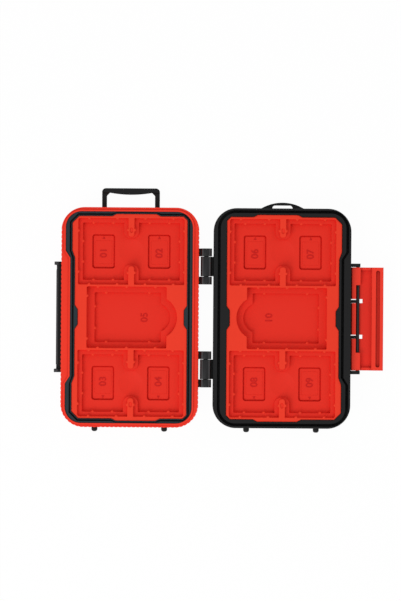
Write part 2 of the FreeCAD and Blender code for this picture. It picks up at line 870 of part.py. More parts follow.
def make_lid_shell():
    """The fluted red half: rim with its lip, ledge for the seal, tray well and the way for the handle."""
    body = shell_block("lid_shell", lid_x)
    lip = new_sketch(body, "lip", rim)
    outline(lip, seal_line(LID, size.lip_wide))
    outline(lip, seal_line(LID, length(0)))
    pad(body, lip, size.lip_tall)
    seal_well = new_sketch(body, "seal_well", rim)
    outline(seal_well, seal_line(LID, length(0)))
    pocket(body, seal_well, size.seal_tall)
    tray_well(body, LID, lid_shift)

    run_low = stop_bar_low - size.handle_travel - size.handle_play
    run = new_sketch(body, "stop_bar_run", seat)
    reach = stop_bar_half + size.handle_play
    outline(run, box_corners(-reach, reach, run_low, tray_tall / 2))
    pocket(body, run, size.underfloor)
    floor_cells(body, LID, lid_shift, LID_CELL_ROWS, -bay_end, run_low - size.cell_rib)
    ways = new_sketch(body, "leg_ways", size.shell_floor + size.handle_thick + size.handle_play * 2)
    for side in (-1, 1):
        outer = size.handle_wide / 2 + size.handle_play
        inner = size.handle_wide / 2 - size.handle_leg - size.handle_play
        outline(ways, box_corners(
            inner * side, outer * side, tray_tall / 2 - size.overrun, shell_tall / 2 + size.overrun))
    pocket(body, ways, size.handle_thick + size.handle_play * 2)

    hinge_seats(body, LID)
    keeper_seat = new_sketch(body, "keeper_seat", keeper_high)
    wall = -shell_wide / 2
    outline(keeper_seat, box_corners(
        wall - size.overrun, wall + size.keeper_plate, -ear_end, ear_end))
    pocket(body, keeper_seat, keeper_high - keeper_low)
    foot_sockets(body)
    flutes(body)
    return body


# Seal

def make_seal():
    """The rubber band between the lid's rim and its tray: a ridge, a groove and a thin inner strip."""
    body = new_body("lid_seal", lid_x)
    ring = new_sketch(body, "ring", rim - size.seal_tall)
    outline(ring, seal_line(LID, -size.seal_fit))
    outline(ring, tray_line(LID, lid_shift, length(0), size.tray_bulge))
    pad(body, ring, size.seal_tall)
    groove = new_sketch(body, "groove", rim)
    outer = size.seal_inner_strip + size.seal_groove_wide
    outline(groove, tray_line(LID, lid_shift, outer, size.seal_bulge, notched=False))
    outline(groove, tray_line(LID, lid_shift, size.seal_inner_strip, size.tray_bulge, notched=False))
    pocket(body, groove, size.seal_groove_deep)
    return body


# Hinges

def make_leaf(label, side, end):
    """A hinge leaf: a plate let into the wall and the knuckles that stand out from it."""
    body = new_body(label, hinge_x, size.hinge_apart / 2 * end, parting)
    plate = new_sketch(body, "plate", -size.leaf_low)
    wall = size.hinge_reach * side
    outline(plate, box_corners(
        wall, wall + size.leaf_thick * side, -size.hinge_long / 2, size.hinge_long / 2))
    pad(body, plate, size.leaf_low - size.leaf_high)
    if side == BASE:
        places = [length(0)]
        long = size.hinge_long - (size.knuckle_long + size.knuckle_gap) * 2
        bore = size.hinge_pin_radius + size.pin_running
    else:
        offset = size.hinge_long / 2 - size.knuckle_long / 2
        places = [-offset, offset]
        long = size.knuckle_long
        bore = size.hinge_pin_radius + size.pin_press
    for number, place in enumerate(places):
        web = new_sketch(body, f"web_{number}", place, "XZ_Plane")
        outline(web, box_corners(
            size.hinge_pin_radius * side, wall, -size.barrel_radius, size.web_thick - size.barrel_radius))
        pad(body, web, long, symmetric=True)
        barrel = new_sketch(body, f"barrel_{number}", place, "XZ_Plane")
        circle(barrel, 0, 0, size.barrel_radius)
        pad(body, barrel, long, symmetric=True)
    hole = new_sketch(body, "pin_hole", 0, "XZ_Plane")
    circle(hole, 0, 0, bore)
    pocket(body, hole, size.hinge_long + size.overrun, symmetric=True)
    return body


def make_rod(label, x, y, z, radius, long):
    """A plain pin along Y, centred on its place."""
    rod = doc.addObject("Part::Cylinder", label)
    rod.Label = label
    rod.Placement = FreeCAD.Placement(FreeCAD.Vector(), FreeCAD.Rotation(FreeCAD.Vector(1, 0, 0), -90))
    bind(rod, "Radius", radius)
    bind(rod, "Height", long)
    for axis, amount in zip("xyz", (x, y - long / 2, z)):
        bind(rod, f"Placement.Base.{axis}", amount)
    return rod


# Latch and keeper

clip_outer = size.latch_pin_radius + size.pin_running + size.clip_wall
heel = size.latch_pin_out - size.heel_gap
hook_near = size.hook_at - size.hook_slot_wide / 2
hook_half_long = size.latch_long / 2 - size.hook_slot_end


def make_latch():
    """The latch plate: clips on the pin at its ends, slots for the arms and a hook slot at its edge."""
    body = new_body("latch", latch_pin_x, 0, latch_pin_z)
    skin_top = size.latch_skin - size.latch_under
    wall_top = size.latch_high - size.latch_end_wall_drop
    strip_start = hook_near - size.hook_strip
    section = new_sketch(body, "section", 0, "XZ_Plane")
    outline(section, [
        (-heel, -size.latch_under),
        (size.latch_reach, -size.latch_under, size.latch_end_round),
        (size.latch_reach, size.latch_high, size.latch_end_round),
        (strip_start, size.latch_high, size.latch_end_round),
        (strip_start, wall_top),
        (clip_outer, wall_top),
        (clip_outer, size.latch_high, size.latch_end_round),
        (size.heel_chamfer - heel, size.latch_high),
        (-heel, size.heel_upright),
    ])
    pad(body, section, size.latch_long, symmetric=True)
    plate = new_sketch(body, "sunk_plate", wall_top)
    plate_end = size.latch_long / 2 - size.latch_end_wall
    outline(plate, box_corners(clip_outer, strip_start, -plate_end, plate_end))
    pocket(body, plate, wall_top - skin_top)
    hook = new_sketch(body, "hook_slot", size.latch_high)
    outline(hook, box_corners(
        hook_near, hook_near + size.hook_slot_wide, -hook_half_long, hook_half_long,
        end_round(size.hook_slot_wide)))
    pocket(body, hook, size.hook_slot_deep)
    window = new_sketch(body, "pin_window", size.latch_high)
    clear = size.latch_pin_radius + size.pin_running
    outline(window, box_corners(-clear, clip_outer, -size.pin_window / 2, size.pin_window / 2))
    pocket(body, window, size.latch_high - skin_top)
    slots = new_sketch(body, "arm_slots", size.latch_high)
    half_slot = size.arm_thick / 2 + size.arm_slot_gap
    for end in (-1, 1):
        middle = size.arm_apart / 2 * end
        outline(slots, box_corners(
            -heel - size.overrun, size.arm_slot_past_pin, middle - half_slot, middle + half_slot))
    pocket(body, slots, size.latch_high + size.latch_under)
    bore = new_sketch(body, "pin_bore", 0, "XZ_Plane")
    circle(bore, 0, 0, clear)
    pocket(body, bore, size.latch_long + size.overrun, symmetric=True)
    slits = new_sketch(body, "clip_slits", 0)
    for end in (-1, 1):
        outline(slits, box_corners(
            -size.clip_slit / 2, size.clip_slit / 2,
            size.pin_window / 2 * end, (size.latch_long / 2 + size.overrun) * end))
    pocket(body, slits, size.latch_under)
    return body


def make_keeper():
    """The part on the lid that the hook slot closes over: plate, rail, tongue, sill and end flanges."""
    body = new_body("latch_keeper", lid_x)
    wall = -shell_wide / 2
    tongue_out = size.latch_pin_out - size.latch_high + size.hook_slot_deep - size.tongue_tip_gap
    tongue_half = size.hook_slot_wide / 2 - size.tongue_side_gap
    tongue_z = parting - (size.hook_at - size.latch_pin_deep)
    plate = new_sketch(body, "plate", keeper_low)
    outline(plate, box_corners(wall, wall + size.keeper_plate, -ear_end, ear_end))
    pad(body, plate, keeper_high - keeper_low)
    rail = new_sketch(body, "rail", tongue_z - size.keeper_rail_half_tall)
    outline(rail, box_corners(wall, wall - size.keeper_rail_out, -ear_start, ear_start))
    pad(body, rail, size.keeper_rail_half_tall * 2)
    tongue = new_sketch(body, "tongue", tongue_z - tongue_half)
    tongue_end = hook_half_long - size.tongue_end_gap
    outline(tongue, box_corners(
        wall, wall - tongue_out, -tongue_end, tongue_end))
    pad(body, tongue, tongue_half * 2)
    sill = new_sketch(body, "sill", keeper_low)
    outline(sill, box_corners(wall, wall - size.keeper_sill_out, -ear_start, ear_start))
    pad(body, sill, size.keeper_sill_tall)
    flanges = new_sketch(body, "flanges", keeper_low)
    for end in (-1, 1):
        outline(flanges, box_corners(wall, wall - size.keeper_flange_out, ear_start * end, ear_end * end))
    pad(body, flanges, keeper_high - keeper_low)
    return body


# Handle

def make_handle():
    """The pull-out handle: a grip with a belly, two flat legs and the tenons that hold its stop bar."""
    body = new_body("pull_handle", lid_x)
    top = shell_tall / 2 + size.handle_out
    half = size.handle_wide / 2
    inside = half - size.handle_leg
    frame = new_sketch(body, "frame", handle_low)
    outline(frame, [
        (-half, stop_bar_high),
        (-half, top, size.handle_corner),
        (half, top, size.handle_corner),
        (half, stop_bar_high),
        (inside, stop_bar_high),
        (inside, top - size.handle_grip - size.handle_inner_cut),
        (inside - size.handle_inner_cut, top - size.handle_grip),
        (size.handle_inner_cut - inside, top - size.handle_grip),
        (-inside, top - size.handle_grip - size.handle_inner_cut),
        (-inside, stop_bar_high),
    ])
    pad(body, frame, size.handle_thick)
    grip_low = handle_low + size.handle_thick / 2 - size.handle_grip_thick / 2
    grip = new_sketch(body, "grip", grip_low)
    outline(grip, [
        (-half, top - size.handle_grip),
        (half, top - size.handle_grip),
        (half, top, size.handle_corner),
        (-half, top, size.handle_corner),
    ])
    pad(body, grip, size.handle_grip_thick)
    belly = new_sketch(body, "belly", grip_low)
    bow(belly, size.handle_belly_wide / 2, top - size.handle_grip, -size.handle_belly)
    pad(body, belly, size.handle_grip_thick)
    tenons = new_sketch(body, "tenons", handle_low)
    for side in (-1, 1):
        middle = (half - size.handle_leg / 2) * side
        outline(tenons, box_corners(
            middle - size.tenon_wide / 2, middle + size.tenon_wide / 2,
            stop_bar_high - size.tenon_long, stop_bar_high))
    pad(body, tenons, size.handle_thick)
    return body


def make_stop_bar():
    """The bar inside the lid that joins the handle's legs and stops them at the end of their travel."""
    body = new_body("handle_stop_bar", lid_x)
    bar = new_sketch(body, "bar", handle_low)
    half_leg = size.handle_leg / 2
    corners = [(-stop_bar_half, stop_bar_low), (stop_bar_half, stop_bar_low), (stop_bar_half, stop_bar_high)]
    for side in (1, -1):
        middle = (size.handle_wide / 2 - half_leg) * side
        for edge, high in ((1, stop_bar_high), (1, None), (-1, None), (-1, stop_bar_high)):
            v = stop_bar_high - size.tenon_long - size.push_fit if high is None else high
            corners.append((middle + (size.tenon_wide / 2 + size.push_fit) * edge, v))
    corners.append((-stop_bar_half, stop_bar_high))
    outline(bar, corners)
    pad(body, bar, size.handle_thick)
    return body


# Lanyard loop and feet

def make_loop():
    """The low arch on the base that a lanyard threads through, keyed into the wall at both feet."""
    body = new_body("lanyard_loop", 0, shell_tall / 2, mid_high)
    arch = new_sketch(body, "arch")
    bow(arch, size.loop_wide / 2, 0, size.loop_tall)
    pad(body, arch, size.loop_thick, symmetric=True)
    slot = new_sketch(body, "slot")
    half_slot = size.loop_slot_wide / 2
    outline(slot, [
        (-half_slot, -size.overrun),
        (half_slot, -size.overrun),
        (half_slot, size.loop_slot_tall, size.loop_slot_round),
        (-half_slot, size.loop_slot_tall, size.loop_slot_round),
    ])
    pocket(body, slot, size.loop_thick + size.overrun, symmetric=True)
    keys = new_sketch(body, "keys")
    for side in (-1, 1):
        near = size.loop_slot_wide / 2 + size.push_fit * 2
        far = near + size.loop_key_wide - size.push_fit * 2
        outline(keys, box_corners(near * side, far * side, -size.loop_key_deep, size.push_fit))
    pad(body, keys, size.loop_key_thick, symmetric=True)
    return body


def make_foot(label, x):
    """A dome-ended foot on a stem, turned about Y."""
    body = new_body(label, x, -shell_tall / 2, mid_high)
    half = new_sketch(body, "half")
    outline(half, [
        (length(0), size.foot_stem_long),
        (length(0), -size.foot_proud),
        (size.foot_radius, -size.foot_proud, size.foot_round),
        (size.foot_radius, length(0)),
        (size.foot_stem_radius, length(0)),
        (size.foot_stem_radius, size.foot_stem_long),
    ])
    spin(body, half, "Revolution")
    return body


pieces = [
    make_base_shell(),
    make_tray("base_tray", base_shift, 0),
    make_loop(),
    make_foot("base_foot_left", -size.foot_apart / 2),
    make_foot("base_foot_right", size.foot_apart / 2),
    make_rod("latch_pin", latch_pin_x, 0, latch_pin_z, size.latch_pin_radius, ear_end * 2),
    make_latch(),
    make_lid_shell(),
    make_tray("lid_tray", lid_x - lid_shift, 180),
    make_seal(),
    make_keeper(),
    make_foot("lid_foot_left", lid_x - size.foot_apart / 2),
    make_foot("lid_foot_right", lid_x + size.foot_apart / 2),
    make_handle(),
    make_stop_bar(),
]
for name, end in (("upper", 1), ("lower", -1)):
    pieces.append(make_leaf(f"base_hinge_{name}", BASE, end))
    pieces.append(make_leaf(f"lid_hinge_{name}", LID, end))
    pieces.append(make_rod(
        f"hinge_pin_{name}", hinge_x, size.hinge_apart / 2 * end, parting,
        size.hinge_pin_radius, size.hinge_long - size.hinge_pin_short * 2))
doc.recompute()

for item in doc.Objects:
    if "Invalid" in item.State or "Error" in item.State:
        raise RuntimeError(f"{item.Label} did not compute: {item.State}")
for piece in pieces:
    if piece.Shape.isNull() or not piece.Shape.isValid() or len(piece.Shape.Solids) != 1:
        raise RuntimeError(f"{piece.Label} is not one valid solid")

os.makedirs("parts", exist_ok=True)
for piece in pieces:
    piece.Shape.exportStep(os.path.join("parts", f"{piece.Label}.step"))
    box = piece.Shape.BoundBox
    print(f"{piece.Label}: {piece.Shape.Volume:.1f} mm3, x {box.XMin:.2f} to {box.XMax:.2f}, "
          f"y {box.YMin:.2f} to {box.YMax:.2f}, z {box.ZMin:.2f} to {box.ZMax:.2f}")
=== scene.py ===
import math
from typing import NamedTuple

import bmesh
import bpy
from bpy.props import FloatProperty, FloatVectorProperty, IntProperty, PointerProperty
from mathutils import Matrix, Vector


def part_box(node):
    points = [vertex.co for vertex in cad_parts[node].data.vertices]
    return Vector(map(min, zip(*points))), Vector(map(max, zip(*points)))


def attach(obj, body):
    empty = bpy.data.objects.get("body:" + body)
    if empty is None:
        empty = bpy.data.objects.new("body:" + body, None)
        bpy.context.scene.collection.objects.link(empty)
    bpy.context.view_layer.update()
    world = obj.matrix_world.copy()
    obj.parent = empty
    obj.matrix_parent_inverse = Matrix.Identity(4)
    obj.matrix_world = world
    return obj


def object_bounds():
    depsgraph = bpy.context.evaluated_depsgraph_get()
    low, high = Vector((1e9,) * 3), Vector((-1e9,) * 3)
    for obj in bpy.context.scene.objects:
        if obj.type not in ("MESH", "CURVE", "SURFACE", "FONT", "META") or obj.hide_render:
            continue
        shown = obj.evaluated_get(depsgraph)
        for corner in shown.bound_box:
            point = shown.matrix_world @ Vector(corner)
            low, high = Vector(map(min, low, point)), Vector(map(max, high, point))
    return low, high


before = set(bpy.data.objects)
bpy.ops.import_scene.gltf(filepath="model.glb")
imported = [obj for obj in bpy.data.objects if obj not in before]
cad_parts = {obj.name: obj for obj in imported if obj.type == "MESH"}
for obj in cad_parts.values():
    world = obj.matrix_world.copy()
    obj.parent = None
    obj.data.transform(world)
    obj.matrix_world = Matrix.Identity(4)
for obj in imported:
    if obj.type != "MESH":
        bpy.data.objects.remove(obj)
CAD_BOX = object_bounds()

bl_info = {
    "name": "Memory card case",
    "version": (1, 0, 0),
    "blender": (4, 5, 0),
    "location": "View3D > Sidebar > Card Case",
    "description": "Dresses the card case: plastics, tray details, seal, latch, handle and stage",
    "category": "Object",
}

MM = 0.001
HALVES = {"base": 1, "lid": -1}
QUARTER_TURN = math.radians(90)
WHITE = (1, 1, 1, 1)


def length(name, description, millimetres):
    """A length property, written in millimetres and kept in metres."""
    return FloatProperty(
        name=name, description=description, default=millimetres * MM, unit="LENGTH", precision=5)


def place(name, description, x, y, z):
    """A place property, written in millimetres from the middle of the case and kept in metres."""
    return FloatVectorProperty(
        name=name, description=description, subtype="XYZ", unit="LENGTH", size=3,
        default=(x * MM, y * MM, z * MM))


def share(name, description, amount):
    """A property from 0 to 1."""
    return FloatProperty(
        name=name, description=description, default=amount, min=0, max=1, subtype="FACTOR")


def number(name, description, amount, unit="NONE"):
    """A property that is a plain number, or has a unit of its own."""
    return FloatProperty(name=name, description=description, default=amount, unit=unit)


def whole(name, description, amount):
    """A property that counts something."""
    return IntProperty(name=name, description=description, default=amount, min=1)


def angle(name, description, degrees):
    """An angle property, written in degrees and kept in radians."""
    return FloatProperty(
        name=name, description=description, default=math.radians(degrees), subtype="ANGLE")


def linear(channel):
    """One 8-bit screen channel as linear light, by the sRGB curve."""
    level = channel / 255
    return level / 12.92 if level <= 0.04045 else ((level + 0.055) / 1.055) ** 2.4


def colour(name, description, red, green, blue):
    """A colour property, written in screen values and kept as linear light."""
    return FloatVectorProperty(
        name=name, description=description, subtype="COLOR", size=3, min=0, max=1,
        default=(linear(red), linear(green), linear(blue)))


class TraySizes(bpy.types.PropertyGroup):
    """Where the pockets of a tray lie, and the small marks on them."""

    card_wide: length("Card width", "Width of a standard card's seat", 24.3)
    card_long: length("Card length", "Length of a standard card's seat", 32.3)
    divider: length("Divider", "Width of the tab between two cards", 3.0)
    bay_start: length("Bay start", "From the tray's middle to the near edge of a bay", 15.95)
    bay_shift: length("Bay shift", "How far the bays lie towards the hinge", 0.7)
    ledge: length("Ledge", "Width of the ledge round a bay", 2.15)
    ledge_deep: length("Ledge depth", "From the tray's top to the ledge", 2.3)
    small_deep: length("Small recess depth", "From the tray's top to a small card's floor", 6.0)
    small_wide: length("Small recess width", "Width of a small card's recess", 11.1)
    small_long: length("Small recess length", "Length of a small card's recess", 16.7)
    small_apart: length("Small recess spacing", "Between the two recesses of a bay", 27.1)
    large_long: length("Large pocket length", "Length of the middle pocket", 38.8)
    large_wide: length("Large pocket width", "Width of the middle pocket", 29.9)
    large_shift: length("Large pocket shift", "How far that pocket lies towards the latch", 1.4)
    large_deep: length("Large pocket depth", "From the tray's top to that pocket's ledge", 4.0)
    inner_long: length("Inner pocket length", "Length of the deeper middle pocket", 32.3)
    inner_wide: length("Inner pocket width", "Width of the deeper middle pocket", 24.3)
    inner_shift: length("Inner pocket shift", "How far it lies towards the latch", 0.9)
    inner_deep: length("Inner pocket depth", "From the tray's top to its floor", 6.3)
    nub_radius: length("Nub radius", "Radius of the nubs that hold a card down", 0.75)
    nub_tall: length("Nub height", "Half of a nub's height", 0.3)
    nub_sunk: length("Nub sunk", "From the wall's edge down to a nub's middle", 0.24)
    nub_spread: length("Nub spread", "From a card's middle to its end nubs", 6.85)
    ledge_nub_spread: length("Ledge nub spread", "From a card's middle to the ledge's nubs", 4.8)
    side_nub_spread: length("Side nub spread", "From a card's middle to its side nubs", 10.0)
    tab_nub_spread: length("Tab nub spread", "From a card's middle to the nubs on the tabs", 10.4)
    large_nub_spread: length("Large nub spread", "From the pocket's middle to its outer nubs", 14.0)
    inner_nub_spread: length("Inner nub spread", "From the deeper pocket's middle to its nubs", 10.5)
    far_nub_spread: length("Far nub spread", "From the middle to the far end's nubs", 10.4)
    deep_nub_spread: length("Deep nub spread", "From the middle to the deeper end's nubs", 5.3)
    frame_inset: length("Frame inset", "From a small recess's long walls to its bead", 1.6)
    frame_foot: length("Frame foot", "From a small recess's inner end to that bead", 2.2)
    frame_bead: length("Frame bead", "Radius of the bead inside a small recess", 0.11)
    frame_round: length("Frame corner", "Corner radius of that bead", 0.5)
    arrow_strip: length("Arrow strip", "Room for the arrow at the outer end of a recess", 3.1)
    arrow_wide: length("Arrow width", "Width of the moulded arrow", 1.4)
    mark_proud: length("Mark height", "How far arrows and numbers stand up", 0.2)
    number_tall: length("Number height", "Height of the slot numbers", 4.8)
    number_shift: length("Number shift", "From a small recess's middle to its number", 0.775)
    inner_number_shift: length("Inner number shift", "The same in the deeper pocket", 8.075)


class EdgeSizes(bpy.types.PropertyGroup):
    """Rounding of the edges, and how far light, painted highlights and painted shade reach along
    them.
    """

    plastic: length("Plastic edges", "Rounding of moulded plastic edges", 0.2)
    steel: length("Pin edges", "Rounding of the pins' ends", 0.15)
    join: length("Edge join", "Distance under which the corners of two faces are one", 0.001)
    shine: length("Edge shine", "Width over which sharp edges catch the light", 0.18)
    # Reach of the painted shade at the feet of walls and in grooves, and in the latch's grooves
    crevice: length("Crevice reach", "How far the dark at the foot of a wall reaches", 1.2)
    latch_painted_shade_reach: length("Latch crevice reach", "The same in the latch's grooves", 2.6)
    latch_deep: length("Latch plate depth", "From the latch's top down to its sunk plate", 2.8)
    # Depth over which a hinge's barrel goes from painted highlight lines to painted shade
    barrel_deep: length("Barrel depth", "From a hinge's top down to its black sides", 1.1)
    steps: whole("Edge steps", "Segments across a rounded edge", 2)
    flat: angle("Flat angle", "Faces that meet at less than this become one", 0.5)
    sharp: angle("Sharp angle", "Edges that turn by more than this are rounded", 35)


class Colours(bpy.types.PropertyGroup):
    """Colours of the mouldings, with the painted shade and painted highlights that go on them."""

    tray: colour("Tray red", "Tops of the moulded trays", 242, 60, 38)
    # Painted shade: the pockets' floors are darker than the tops, blended in with depth
    floor: colour("Floor red", "Matt floors of the pockets", 234, 49, 34)
    # Painted shade at the feet of the tray's walls and in its grooves
    tray_painted_shade: colour("Tray creases", "Feet of the tray's walls", 230, 36, 30)
    # Darker red on the raised numbers and arrows, as painted shade along their relief
    mark: colour("Mark red", "Slot numbers and arrows in the trays", 206, 32, 27)
    shell: colour("Lid red", "Fluted lid", 244, 56, 36)
    # Painted shade in the lid's grooves
    shell_painted_shade: colour("Lid creases", "Grooves of the lid", 190, 18, 20)
    latch: colour("Latch red", "Raised parts of the latch", 246, 60, 42)
    # Painted shade: the latch's sunk plate is darker than its raised parts
    latch_floor_painted_shade: colour("Latch floor", "Sunk plate of the latch", 236, 49, 35)
    # Painted shade in the latch's hook slot and other grooves
    latch_painted_shade: colour("Latch creases", "Hook slot and other grooves of the latch", 110, 2, 10)
    black: colour("Base black", "Base, lanyard loop and handle", 19, 19, 20)
    hinge: colour("Hinge black", "Tops of the hinge barrels", 32, 32, 33)
    # Painted highlight: light lines along the hinge barrels
    hinge_painted_highlight: colour("Hinge lines", "Light lines along the hinge barrels", 72, 72, 73)
    # Painted shade: black on the hinges' sides and the keeper's inner half
    side_painted_shade: colour("Dark sides", "Sides of the hinges and inner half of the keeper", 2, 2, 2)
    keeper: colour("Keeper black", "Rail and flanges of the keeper", 60, 62, 64)
    # Painted shade in the grooves of the black pieces
    black_painted_shade: colour("Black creases", "Grooves of the black pieces", 2, 2, 2)
    seal: colour("Seal", "Rubber seal", 30, 42, 48)
    rubber: colour("Feet", "Rubber feet", 28, 28, 28)
    rod: colour("Rods", "Blackened latch rod and hinge pins", 12, 13, 14)


class FinishSizes(bpy.types.PropertyGroup):
    """Grain, roughness and shine of the finishes."""

    flow: length("Flow marks", "Size of the faint flow marks in moulded plastic", 9)
    mottle: length("Mottling", "Size of the plastic's mottling", 1.6)
    scuff: length("Scuffs", "Size of the plastic's fine scuffs", 2.4)
    tray_grain: length("Tray grain", "Size of the grain on the trays", 0.28)
    red_grain: length("Red grain", "Size of the grain on the lid and the latch", 0.24)
    black_grain: length("Black grain", "Size of the grain on the black plastic", 0.26)
    plastic_relief: length("Plastic relief", "Height of the plastic's grain", 0.012)
    bloom: length("Bloom", "Size of the dull bloom on rubber", 5)
    rubber_grain: length("Rubber grain", "Size of the grain on rubber", 0.18)
    rubber_relief: length("Rubber relief", "Height of the rubber's grain", 0.01)
    rod_line: length("Rod lines", "Width of the drawing lines on the rods", 0.25)
    rod_relief: length("Rod relief", "Depth of those lines", 0.006)
    tray_rough: share("Tray roughness", "Roughness of the trays and their marks", 0.46)
    nub_rough: share("Nub roughness", "Roughness of the nubs", 0.42)
    lid_rough: share("Lid roughness", "Roughness of the lid", 0.40)
    latch_rough: share("Latch roughness", "Roughness of the latch", 0.38)
    black_rough: share("Black roughness", "Roughness of the base, the loop and the handle", 0.48)
    fitting_rough: share("Fitting roughness", "Roughness of the hinges and the keeper", 0.42)
    seal_rough: share("Seal roughness", "Roughness of the seal", 0.50)
    foot_rough: share("Foot roughness", "Roughness of the feet", 0.62)
    rod_rough: share("Rod roughness", "Roughness of the rods", 0.32)
    # Painted highlight along sharp edges, with some wear: how light each piece's edges are
    red_edge_highlight_and_wear: share("Red wear", "How light the edges of the red pieces are", 0.35)
    mark_edge_highlight_and_wear: share("Mark wear", "How light the edges of nubs and marks are", 0.20)
    black_edge_highlight_and_wear: share("Black wear", "How light the edges of the base and the handle are", 0.55)
    fitting_edge_highlight_and_wear: share("Fitting wear", "How light the edges of hinges and keeper are", 0.10)
    tray_shine: share("Tray shine", "Specular level of the trays", 0.12)
    red_shine: share("Red shine", "Specular level of the lid and the latch", 0.15)
    black_shine: share("Black shine", "Specular level of the base and the handle", 0.16)
    fitting_shine: share("Fitting shine", "Specular level of the hinges and the keeper", 0.17)
    rubber_shine: share("Rubber shine", "Specular level of the rubber", 0.20)
    rod_metal: share("Rod metal", "How metallic the blackened rods are", 0.40)
    # How far the painted crease shade is taken off the latch's plate
    latch_painted_shade_clear: share("Latch clearness", "How free the latch's plate is of dark creases", 0.75)


class StageSizes(bpy.types.PropertyGroup):
    """Camera, floor and lamps."""

    picture_wide: whole("Picture width", "Width of the picture in pixels", 401)
    picture_tall: whole("Picture height", "Height of the picture in pixels", 601)
    base_at_x: number("Base across", "Pixel column of the base's middle", 282.0)
    base_at_y: number("Base down", "Pixel row of the base's middle", 318.45)
    pixel: length("Pixel", "Size of one pixel on the open case", 0.4862)
    tilt: angle("Tilt", "Turn of the picture about the line of sight", 0.41)
    lens: number("Lens", "Focal length", 200.0, "CAMERA")
    sensor: number("Sensor", "Long side of the sensor", 36.0, "CAMERA")
    floor_wide: length("Floor", "Width of the white floor", 8000)
    floor_gap: length("Floor gap", "Air between the case and the floor", 0.05)
    paper: share("Paper", "How white the floor is where it takes shadow", 0.96)
    shadow: share("Shadow", "Share of the floor that takes shadow", 0.03)
    sky: number("Sky", "Strength of the light from all round", 0.6)
    key_at: place("Key place", "Where the key lamp stands", -330, -420, 620)
    key_wide: length("Key width", "Width of the key lamp", 520)
    key: number("Key", "Power of the key lamp", 2.6, "POWER")
    fill_at: place("Fill place", "Where the fill lamp stands", 450, 350, 500)
    fill_wide: length("Fill width", "Width of the fill lamp", 500)
    fill: number("Fill", "Power of the fill lamp", 0.5, "POWER")


class CaseSettings(bpy.types.PropertyGroup):
    """All settings of the card case."""

    tray: PointerProperty(type=TraySizes)
    edge: PointerProperty(type=EdgeSizes)
    colours: PointerProperty(type=Colours)
    finish: PointerProperty(type=FinishSizes)
    stage: PointerProperty(type=StageSizes)


def settings():
    return bpy.context.scene.card_case


# Shader expressions

EDGE_SAMPLES = 6
CREVICE_SAMPLES = 12
# Ramps for the painted edge highlight and the painted crevice shade
EDGE_HIGHLIGHT_RAMP = ((0.02, 0), (0.25, 1))
PAINTED_CREVICE_SHADE_RAMP = ((0.12, 0), (0.8, 1))


class Wire:
    """An output socket that can stand in Python arithmetic."""

    def __init__(self, finish, socket):
        self.finish = finish
        self.socket = socket

    def maths(self, operation, first, second):
        return self.finish.node("ShaderNodeMath", {"operation": operation}, {0: first, 1: second})

    def __add__(self, other):
        return self.maths("ADD", self, other)

    def __radd__(self, other):
        return self.maths("ADD", other, self)

    def __sub__(self, other):
        return self.maths("SUBTRACT", self, other)

    def __rsub__(self, other):
        return self.maths("SUBTRACT", other, self)

    def __mul__(self, other):
        return self.maths("MULTIPLY", self, other)

    def __rmul__(self, other):
        return self.maths("MULTIPLY", other, self)

    def __or__(self, other):
        return self.maths("MAXIMUM", self, other)


